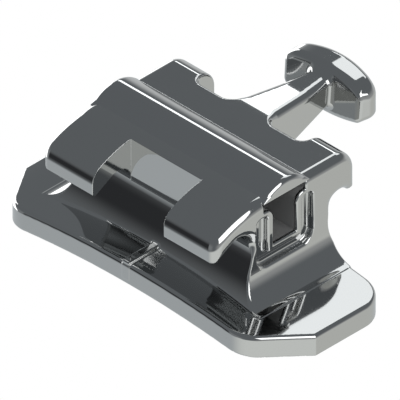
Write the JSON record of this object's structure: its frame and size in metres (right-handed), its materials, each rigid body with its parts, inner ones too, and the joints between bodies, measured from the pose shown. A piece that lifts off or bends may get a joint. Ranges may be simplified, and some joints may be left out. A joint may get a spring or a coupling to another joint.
{
  "type": "buccal tube",
  "caption": "Orthodontic molar attachment: arched bonding pad, capped rectangular archwire slot, tie wings front and rear, and a hook with a domed head.",
  "frame": {"origin": "centre of the bonding face, under the middle of the archwire slot", "axes": "+X along the archwire slot, +Y towards the hook's head, +Z away from the tooth"},
  "size_m": [0.0072, 0.0054, 0.0027],
  "materials": {
    "polished_steel": "stainless steel, tumbled and electropolished to a mirror",
    "cap_steel": "stainless steel strip, polished with the body after brazing"
  },
  "bodies": {
    "root": {"tube_body": "polished_steel", "convertible_cap": "cap_steel"}
  },
  "joints": []
}
